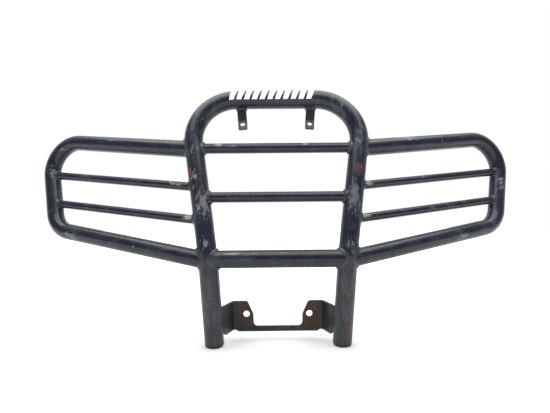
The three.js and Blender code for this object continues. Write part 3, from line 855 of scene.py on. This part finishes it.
def ear_outline():
    """Right half of the bracket's flat shape, round from the middle of the
    strap's lower edge to the middle of its upper edge."""
    chamfer_start = (CHAMFER_LOW_X - BRACKET_CORNER_X) / flange_heading[0]
    foot = flange_reach(chamfer_height(flange_reach(10.0)))
    heights = np.linspace(chamfer_height(foot), EAR_TOP_Z, 8)
    slope = (EAR_TOP_X - EAR_SLANT[0]) / (EAR_TOP_Z - EAR_SLANT[1])
    round_x = EAR_TOP_X - EAR_ROUND * slope
    points = [(RELIEF[0], STRAP_BOTTOM_Z), (RELIEF[1], FLANGE_BOTTOM_Z),
              (flange_u(chamfer_start), FLANGE_BOTTOM_Z)]
    points += [(flange_u(flange_reach(z)), z) for z in heights]
    points += quadratic((EAR_TOP_X + EAR_ROUND, EAR_TOP_Z), (EAR_TOP_X, EAR_TOP_Z),
                        (round_x, EAR_TOP_Z - EAR_ROUND))
    points += [EAR_SLANT]
    points += quadratic((EAR_ROOT_X, STRAP_TOP_Z + EAR_FILLET), (EAR_ROOT_X, STRAP_TOP_Z),
                        (EAR_ROOT_X - EAR_FILLET, STRAP_TOP_Z), 10)
    return points


def bracket_material():
    """Worn enamel over steel, with rust round each bolt hole."""
    material, n, shader, place = begin_material("Bracket enamel and rust")
    paint = n.group("Sprayed paint", {
        "Place": place, "Tone": (0.011, 0.0115, 0.013, 1),
        "Faded Tone": (0.034, 0.031, 0.029, 1), "Fading": 0.6, "Roughness": 0.42})
    color, rough, height = (paint.outputs[k] for k in ("Color", "Roughness", "Height"))
    rub = n.group("Rubbing", {"Place": place, "Stretch": (1, 1, 0.4), "Scale": 90.0,
                              "Amount": 0.5})
    color = n.mix(n.math("MULTIPLY", rub.outputs["Mask"], 0.5), color, BARE_STEEL)
    color = n.mix(n.math("MULTIPLY", rub.outputs["Scratch"], 0.3), color, SCRATCHED)
    mottle = n.noise(place, 260.0, 5.0, 0.7)
    rust = n.mix(n.ramp(mottle, 0.3, 0.7), RUST_DARK, RUST_LIGHT)
    rust_spots = [
        ((EAR_HOLE[0] + 1, -4, EAR_HOLE[1] + 2), (22, 6, 34), 1.6, 0.85),
        ((-EAR_HOLE[0] + 3, -4, EAR_HOLE[1] + 6), (22, 6, 34), 1.45, 0.8),
        ((0, -4, 0), (60, 6, 9), 0.55, 0.6),
    ]
    for centre, reach, cover, strength in rust_spots:
        mask = n.group("Wear and sheen patch", {
            "Place": place, "Centre": [c * MM for c in centre],
            "Reach": [r * MM for r in reach], "Cover": cover, "Grain": 150.0}).outputs[0]
        mask = n.math("MULTIPLY", mask, strength)
        color = n.mix(mask, color, rust)
        rough = n.blend(mask, rough, 0.85)
        height = n.math("ADD", height, n.math("MULTIPLY", mask, mottle))
    end_material(n, shader, color, rough, height, 0.00012)
    return material


right = ear_outline()
outline = [(-u, v) for u, v in reversed(right)] + right
ear_holes = [circle((side * EAR_HOLE[0], EAR_HOLE[1]), EAR_HOLE_RADIUS, 48)
             for side in SIDES.values()]
lines = fold_lines(BRACKET_CORNER_X, BRACKET_BEND, FLANGE_TURN, 12)
flat, faces, rim = flat_sheet(outline, ear_holes, lines + [-u for u in lines])
middle, normals = [], []
for u, v in flat:
    side = math.copysign(1.0, u)
    run, aside, heading = fold_map(abs(u), BRACKET_CORNER_X, BRACKET_BEND, FLANGE_TURN)
    middle.append([side * run, -BRACKET_THICKNESS / 2 - aside, v])
    normals.append([-side * math.sin(heading), -math.cos(heading), 0])
vertices, faces = thicken(np.array(middle), np.array(normals), faces, rim, BRACKET_THICKNESS)

# Both corners of each flange end are cut to the round of the leg.
for index, (u, v) in enumerate(np.concatenate([flat, flat])):
    if abs(u) > flange_u(flange_reach(v)) - END_MARGIN and v > 0:
        side = math.copysign(1.0, u)
        inside = mirrored(vertices[index], side) + flange_heading * STEP_BACK
        met = slide_clear(inside, -flange_heading, hoop_axis, HOOP_RADIUS + FLANGE_FIT, 30)
        vertices[index] = mirrored(met[0], side)
bracket = new_piece("lower_bracket_visual", vertices, faces, bracket_material(),
                    ["lower_bracket"])
shade_evenly(bracket)


# -------------------------------------------------------------------- welds
# A small fillet of weld runs round every joint under the enamel. It is laid in
# overlapping pools, so it has fine crescent ripples, and it is a little uneven.

WELD_LEG = 3.4
WELD_CROWN = 0.45
RIPPLE_PITCH = 2.3
RIPPLE_HEIGHT = 0.22
ACROSS = np.linspace(0, 1, 9)
ROD_WELD_LEG = 3.0
WELD_STEP = 0.42
WELD_SINK = 0.25
TAB_WELD_OVERRUN = 2.0
TAB_WELD_STEPS = 48
BRACKET_WELD_Z = (13.0, 45.5)
BRACKET_WELD_STEPS = 80


def weld(name, seam, first, second, nodes, closed, material, leg=WELD_LEG):
    """A bead between two rows of toes that run beside a seam. All rows have the
    same number of points; the crown stands out from the seam."""
    count = len(seam)
    steps = np.linalg.norm(np.roll(seam, -1, 0) - seam, axis=1)
    run = np.concatenate([[0], np.cumsum(steps)])
    length = run[-1] if closed else run[-2]
    pitch = length / max(1, round(length / RIPPLE_PITCH))
    out = (first + second) / 2 - seam
    rows = []
    for i in range(count):
        drift = noise.noise((seam[i] * 0.09).tolist())
        taper = 1.0 if closed else math.sqrt(max(0.06, 1 - (2 * run[i] / length - 1) ** 8))
        a = seam[i] + (first[i] - seam[i]) * (1 + 0.16 * drift) * taper
        b = seam[i] + (second[i] - seam[i]) * (1 - 0.12 * drift) * taper
        direction = unit(out[i])
        row = [seam[i]]
        for v in ACROSS:
            bow = 4 * v * (1 - v)
            phase = (run[i] / pitch + 0.5 * bow) % 1
            ripple = RIPPLE_HEIGHT * (1 - (2 * phase - 1) ** 2) * bow ** 0.5
            swell = WELD_CROWN * leg / WELD_LEG * bow * (1 + 0.3 * drift) * taper
            row.append(a * (1 - v) + b * v + direction * (swell + ripple))
        rows.append(row)
    around = len(ACROSS) + 1
    vertices = np.array(rows).reshape(-1, 3)
    faces = skin(count, around)
    if closed:
        faces += [((count - 1) * around + j, (count - 1) * around + (j + 1) % around,
                   (j + 1) % around, j) for j in range(around)]
    else:
        faces += [tuple(range(around)),
                  tuple(range((count - 1) * around, count * around))]
    return new_piece(name, vertices, faces, material, nodes, smooth=60)


def weld_round(name, anchor, outward, radius, onto, onto_radius, material, leg=WELD_LEG):
    """The bead right round a branch tube where it lands on another tube."""
    count = int(2 * math.pi * radius / WELD_STEP)
    across = unit(np.cross(outward, OFF_AXIS))
    other = np.cross(outward, across)
    turns = np.linspace(0, 2 * math.pi, count, endpoint=False)[:, None]
    off_branch = np.cos(turns) * across + np.sin(turns) * other
    seam = slide_clear(anchor + off_branch * radius, outward, onto, onto_radius)
    off_main = seam - nearest_on(onto, seam)
    off_main /= np.linalg.norm(off_main, axis=1)[:, None]
    away = off_branch - off_main * (off_branch * off_main).sum(1)[:, None]
    away -= outward * 1e-3
    away /= np.linalg.norm(away, axis=1)[:, None]
    second = seam + away * leg
    middle = nearest_on(onto, second)
    second = middle + (second - middle) * (
        onto_radius / np.linalg.norm(second - middle, axis=1))[:, None]
    first = seam + outward * leg
    lift = off_branch + off_main
    lift /= np.linalg.norm(lift, axis=1)[:, None]
    sunk = seam - lift * WELD_SINK
    return weld(f"{name}_visual", sunk, first, second, [name], True, material, leg)


def tab_weld(face_name, facing, side_name, side):
    """The run along a tab's front or rear, under the hoop's top tube."""
    half = TAB_WIDTH / 2 + TAB_WELD_OVERRUN
    start = math.asin(TAB_THICKNESS / 2 / HOOP_RADIUS)
    root_x = side * (TAB_ROOT_X - HOOP_RADIUS * math.sin(TAB_LEAN))
    down = np.array([-side * math.sin(TAB_LEAN), 0, -1]) * WELD_LEG
    seam, first, second = [], [], []
    for x in np.linspace(-half, half, TAB_WELD_STEPS):
        centre = np.array([root_x + x, hoop_corner[1], HOOP_TOP_Z])
        near, far = (centre + HOOP_RADIUS * np.array([0, facing * math.sin(a), -math.cos(a)])
                     for a in (start, start + WELD_LEG / HOOP_RADIUS))
        seam.append(near)
        first.append(near + down)
        second.append(far)
    node = f"tab_weld_{face_name}_{side_name}"
    weld(f"{node}_visual", np.array(seam), np.array(first), np.array(second), [node],
         False, weld_paint)


def bracket_weld(face_name, facing, side_name, side):
    """The run in one corner between the bracket's flange and the leg."""
    face_normal = np.array([flange_heading[1], -flange_heading[0], 0]) * facing
    seam, first, second = [], [], []
    for z in np.linspace(*BRACKET_WELD_Z, BRACKET_WELD_STEPS):
        reach = flange_reach(z, facing * BRACKET_THICKNESS / 2)
        spot = (flange_root + [0, 0, z] + flange_heading * reach
                + face_normal * BRACKET_THICKNESS / 2)
        toe = spot + face_normal * WELD_LEG
        middle = nearest_on(hoop_axis, toe)[0]
        seam.append(spot)
        first.append(spot - flange_heading * WELD_LEG)
        second.append(middle + unit(toe - middle) * HOOP_RADIUS)
    rows = [np.array([mirrored(p, side) for p in row]) for row in (seam, first, second)]
    node = f"bracket_weld_{face_name}_{side_name}"
    weld(f"{node}_visual", *rows, [node], False, weld_paint)


weld_paint = painted_tube_material(
    "Weld enamel", tone=(0.014, 0.016, 0.022, 1), faded=(0.055, 0.060, 0.070, 1),
    fading=0.7, roughness=0.30, rubbing=0.6, chips=0.5, stretch=(1, 1, 1))

for side_name, side in SIDES.items():
    inward = np.array([-side, 0.0, 0.0])
    for bar, (end, radius, bore) in crossbar_ends.items():
        weld_round(f"{bar}_crossbar_weld_{side_name}", mirrored(end, side), inward, radius,
                   hoop_axis, HOOP_RADIUS, weld_paint)
    points, tangents = wing_axes[side_name]
    for place_name, i, outward in (("top", 0, tangents[0]), ("bottom", -1, -tangents[-1])):
        weld_round(f"wing_weld_{place_name}_{side_name}", points[i], outward, FRAME_RADIUS,
                   hoop_axis, HOOP_RADIUS, weld_paint)
    for rod_name in WING_RODS:
        points, tangents = rod_axes[rod_name, side_name]
        weld_round(f"rod_weld_{rod_name}_inner_{side_name}", points[0], tangents[0],
                   ROD_RADIUS, hoop_axis, HOOP_RADIUS, weld_paint, ROD_WELD_LEG)
        weld_round(f"rod_weld_{rod_name}_outer_{side_name}", points[-1], -tangents[-1],
                   ROD_RADIUS, wing_axes[side_name], FRAME_RADIUS, weld_paint, ROD_WELD_LEG)
    for face_name, facing in (("front", -1.0), ("rear", 1.0)):
        tab_weld(face_name, facing, side_name, side)
    for face_name, facing in (("inner", 1.0), ("outer", -1.0)):
        bracket_weld(face_name, facing, side_name, side)


# ---------------------------------------------------------------------- decal
# A white transfer on the upper front of the hoop's top run. It carries only a
# plain row of slanted bars, cut from thin film and rubbed thin in places.

BAR_COUNT = 11
BAR_SHARE = 0.68
BAR_SLANT = 6.0
FILM_ROWS = 11
FILM_COLUMNS = 4
FILM_INNER = 0.12
FILM_OUTER = 0.24
FILM_LOW = math.radians(-9)
FILM_HIGH = math.radians(61)
FILM_WHITE = (0.82, 0.82, 0.80, 1)
FILM_WORN = (0.52, 0.52, 0.50, 1)
UNDER_FILM = (0.05, 0.052, 0.06, 1)


def decal_material():
    material, n, shader, place = begin_material("White film")
    paint = n.group("Sprayed paint", {
        "Place": place, "Tone": FILM_WHITE, "Faded Tone": FILM_WORN, "Fading": 0.5,
        "Roughness": 0.42})
    chip = n.group("Chips", {"Place": place, "Scale": 260.0, "Amount": 0.35}).outputs[0]
    color = n.mix(chip, paint.outputs["Color"], UNDER_FILM)
    end_material(n, shader, color, paint.outputs["Roughness"], paint.outputs["Height"], 0.00003)
    return material


hoop_normal = unit(np.array([0, -1, HOOP_LEAN]))
top_run = hoop_axis[0][:, 2] > HOOP_TOP_Z - 2 * HOOP_RADIUS


def on_hoop(x, angle, radius):
    """A point round the hoop's top run: angle 0 faces ahead and 90 degrees is up."""
    points, tangents = (part[top_run] for part in hoop_axis)
    centre = np.array([np.interp(x, points[:, 0], points[:, k]) for k in range(3)])
    along = unit([np.interp(x, points[:, 0], tangents[:, k]) for k in range(3)])
    out = np.cross(hoop_normal, along)
    forward = -hoop_normal[1] * hoop_normal - hoop_normal[2] * out
    upward = hoop_normal[2] * hoop_normal - hoop_normal[1] * out
    return centre + radius * (forward * math.cos(angle) + upward * math.sin(angle))


film_low, film_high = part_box("front_decal")
left_x, right_x = film_low.x / MM, film_high.x / MM
bar_pitch = (right_x - left_x - BAR_SLANT) / BAR_COUNT
bar_width = bar_pitch * BAR_SHARE
layer = FILM_ROWS * FILM_COLUMNS
bottom, top = math.sin(FILM_LOW), math.sin(FILM_HIGH)
vertices, faces = [], []
for bar in range(BAR_COUNT):
    bar_left = left_x + bar * bar_pitch + (bar_pitch - bar_width) / 2
    first = len(vertices)
    for radius in (HOOP_RADIUS + FILM_OUTER, HOOP_RADIUS + FILM_INNER):
        for angle in np.linspace(FILM_LOW, FILM_HIGH, FILM_ROWS):
            row_left = bar_left + BAR_SLANT * (math.sin(angle) - bottom) / (top - bottom)
            vertices += [on_hoop(x, angle, radius)
                         for x in np.linspace(row_left, row_left + bar_width, FILM_COLUMNS)]
    grid = np.arange(first, first + layer).reshape(FILM_ROWS, FILM_COLUMNS)
    cells = np.stack([grid[:-1, :-1], grid[:-1, 1:], grid[1:, 1:], grid[1:, :-1]], -1)
    cells = [tuple(cell) for cell in cells.reshape(-1, 4).tolist()]
    rim = [*grid[0], *grid[1:, -1], *grid[-1, -2::-1], *grid[-2:0:-1, 0]]
    rim = [int(i) for i in rim]
    faces += cells + [tuple(i + layer for i in reversed(cell)) for cell in cells]
    faces += [(a, b, b + layer, a + layer) for a, b in zip(rim, rim[1:] + rim[:1])]
new_piece("front_decal_visual", vertices, faces, decal_material(), ["front_decal"])


# --------------------------------------------------------------------- studio
# A pale round floor stands for the paper sweep. A broad soft panel hangs above
# and a little in front, and the surround is white behind and dim in front.

FLOOR_RADIUS = 4.0
FLOOR_SIDES = 96
PAPER_NEAR = 0.45
PAPER_FAR = 1.3
PAPER_TINTS = [(0.80, 0.80, 0.80, 1), (0.84, 0.84, 0.84, 1)]
PAPER_GLOWS = [(0.05, 0.05, 0.05, 1), (1, 1, 1, 1)]
PANEL_PLACE = (0.0, -0.35, 1.65)
PANEL_SIZE = (2.6, 1.8)
PANEL_POWER = 60.0
DIM_FRONT = 0.30
FRONT_TO_BACK = (-0.35, 0.45)


def paper_material():
    """Matt paper that is lit brighter away from the guard."""
    material, n, shader, place = begin_material("Pale paper")
    n.link(n.mix(n.noise(place, 3.0), *PAPER_TINTS), shader.inputs["Base Color"])
    shader.inputs["Roughness"].default_value = 0.8
    shader.inputs["Specular IOR Level"].default_value = 0.2
    lift = n.ramp(n.length(place), PAPER_NEAR, PAPER_FAR)
    n.link(n.mix(lift, *PAPER_GLOWS), shader.inputs["Emission Color"])
    shader.inputs["Emission Strength"].default_value = 1.0
    return material


floor_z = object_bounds()[0].z
bm = bmesh.new()
bmesh.ops.create_circle(bm, cap_ends=True, segments=FLOOR_SIDES, radius=FLOOR_RADIUS,
                        matrix=Matrix.Translation((0, 0, floor_z)))
mesh = bpy.data.meshes.new("Paper floor")
bm.to_mesh(mesh)
bm.free()
mesh.materials.append(paper_material())
paper = bpy.data.objects.new("Paper floor", mesh)
bpy.context.scene.collection.objects.link(paper)


panel = bpy.data.lights.new("Overhead panel", "AREA")
panel.shape = "RECTANGLE"
panel.size, panel.size_y = PANEL_SIZE
panel.energy = PANEL_POWER
hanger = bpy.data.objects.new("Overhead panel", panel)
hanger.location = PANEL_PLACE
bpy.context.scene.collection.objects.link(hanger)

world = bpy.data.worlds.new("White surround")
world.use_nodes = True
n = Nodes(world.node_tree)
heading = n.put("ShaderNodeSeparateXYZ", {0: n.put("ShaderNodeTexCoord").outputs["Generated"]})
behind = n.ramp(heading.outputs["Y"], *FRONT_TO_BACK)
strength = n.blend(behind, DIM_FRONT, 1.0)
seen = n.put("ShaderNodeLightPath").outputs["Is Camera Ray"]
strength = n.blend(seen, strength, 1.0)
surround = world.node_tree.nodes["Background"]
surround.inputs["Color"].default_value = (1, 1, 1, 1)
n.link(strength, surround.inputs["Strength"])
bpy.context.scene.world = world
bpy.context.scene.view_settings.view_transform = "Standard"


# --------------------------------------------------------------------- camera
# It stands straight in front, level with the middle of the guard and about
# three quarters of a metre away, with a moderately wide lens.

CAMERA_PLACE = np.array([-8.68, -734.63, 213.55])
CAMERA_LENS = 27.21
CAMERA_YAW = -0.0071
CAMERA_ROLL = -0.0090
SENSOR_WIDTH = 36.0

ahead = unit([-math.tan(CAMERA_YAW), 1, 0])
level = unit(np.cross(ahead, [0, 0, 1]))
above = np.cross(level, ahead)
camera_right = level * math.cos(CAMERA_ROLL) + above * math.sin(CAMERA_ROLL)
camera_up = np.cross(camera_right, ahead)
lens = bpy.data.cameras.new("Camera")
lens.lens = CAMERA_LENS
lens.sensor_width = SENSOR_WIDTH
lens.sensor_fit = "HORIZONTAL"
camera = bpy.data.objects.new("Camera", lens)
bpy.context.scene.collection.objects.link(camera)
turned = np.eye(4)
turned[:3] = np.column_stack([camera_right, camera_up, -ahead, CAMERA_PLACE * MM])
camera.matrix_world = Matrix(turned.tolist())
bpy.context.scene.camera = camera
